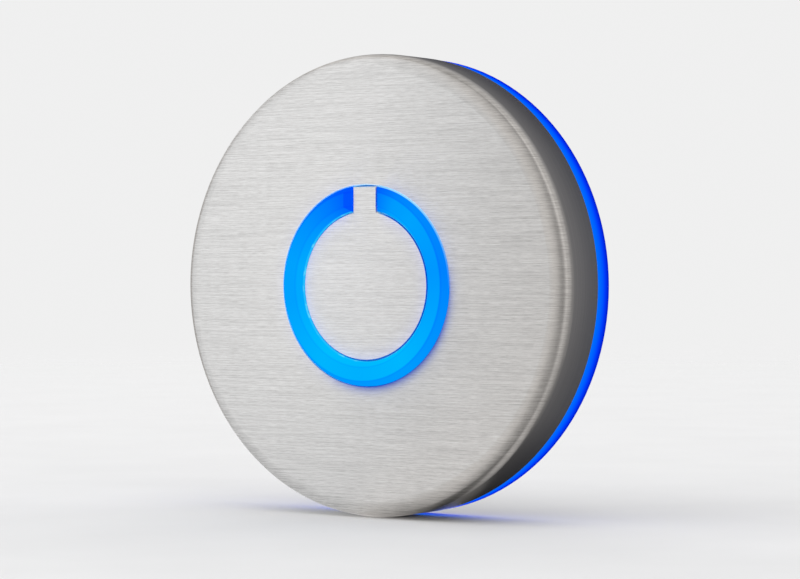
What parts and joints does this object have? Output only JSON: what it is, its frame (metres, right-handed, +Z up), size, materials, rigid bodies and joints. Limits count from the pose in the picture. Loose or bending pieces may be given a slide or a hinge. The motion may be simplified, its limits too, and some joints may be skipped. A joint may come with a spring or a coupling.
{
  "type": "doorbell push button",
  "caption": "Round wall-mounted door bell push: brushed aluminium shell, glowing halo at the wall, bevelled C-shaped light ring and a sprung metal button with a tab.",
  "frame": {"origin": "centre of the back face, on the wall", "axes": "+Z up, +X to the right seen from the front, +Y into the wall, so the face looks along -Y"},
  "size_m": [0.07, 0.0141, 0.07],
  "materials": {
    "brushed_shell": "brushed along X on the face, satin on the side",
    "brushed_cap": "brushed along X",
    "halo_guide": "glowing light guide",
    "ring_guide": "glowing light guide",
    "black_moulding": "fine moulded",
    "seal_rubber": "matt",
    "white_moulding": "satin reflector white",
    "screw_steel": "zinc plated",
    "spring_steel": "drawn wire",
    "plate_moulding": "spark-eroded texture",
    "seal_foam": "closed-cell foam",
    "grommet_rubber": "moulded rubber",
    "lock_steel": "plain stainless",
    "board_laminate": "solder mask",
    "switch_metal": "plated",
    "tinned_metal": "tinned",
    "lamp_plastic": "cast",
    "chip_ceramic": "matt",
    "can_metal": "drawn can",
    "terminal_plastic": "moulded",
    "clamp_brass": "plain"
  },
  "bodies": {
    "body": {"housing": "brushed_shell", "halo_ring": "halo_guide", "light_ring": "ring_guide", "button_carrier": "white_moulding", "carrier_screws": "screw_steel", "return_spring": "spring_steel", "base_plate": "plate_moulding", "wall_gasket": "seal_foam", "cable_grommet": "grommet_rubber", "locking_screw": "lock_steel", "circuit_board": "board_laminate", "board_screws": "screw_steel", "switch_body": "black_moulding", "switch_cover": "switch_metal", "switch_terminals": "tinned_metal", "front_leds": "lamp_plastic", "halo_leds": "lamp_plastic", "resistors": "chip_ceramic", "bridge_rectifier": "chip_ceramic", "smoothing_capacitor": "can_metal", "terminal_block": "terminal_plastic", "terminal_screws": "tinned_metal", "terminal_clamps": "clamp_brass"},
    "button": {"button_cap": "brushed_cap", "button_plunger": "black_moulding", "plunger_o_ring": "seal_rubber"},
    "switch_stem": {"switch_plunger": "black_moulding"}
  },
  "joints": [
    {"name": "button_press", "type": "slide", "parent": "body", "child": "button", "axis": [0, 1, 0], "range_m": [0, 0.0008], "stiffness_N_per_m": 1200, "deforming": ["return_spring"]},
    {"name": "switch_press", "type": "slide", "parent": "body", "child": "switch_stem", "axis": [0, 1, 0], "range_m": [0, 0.0004]}
  ],
  "couplings": [
    {"joint": "switch_press", "follows": "button_press", "ratio": 0.5}
  ]
}
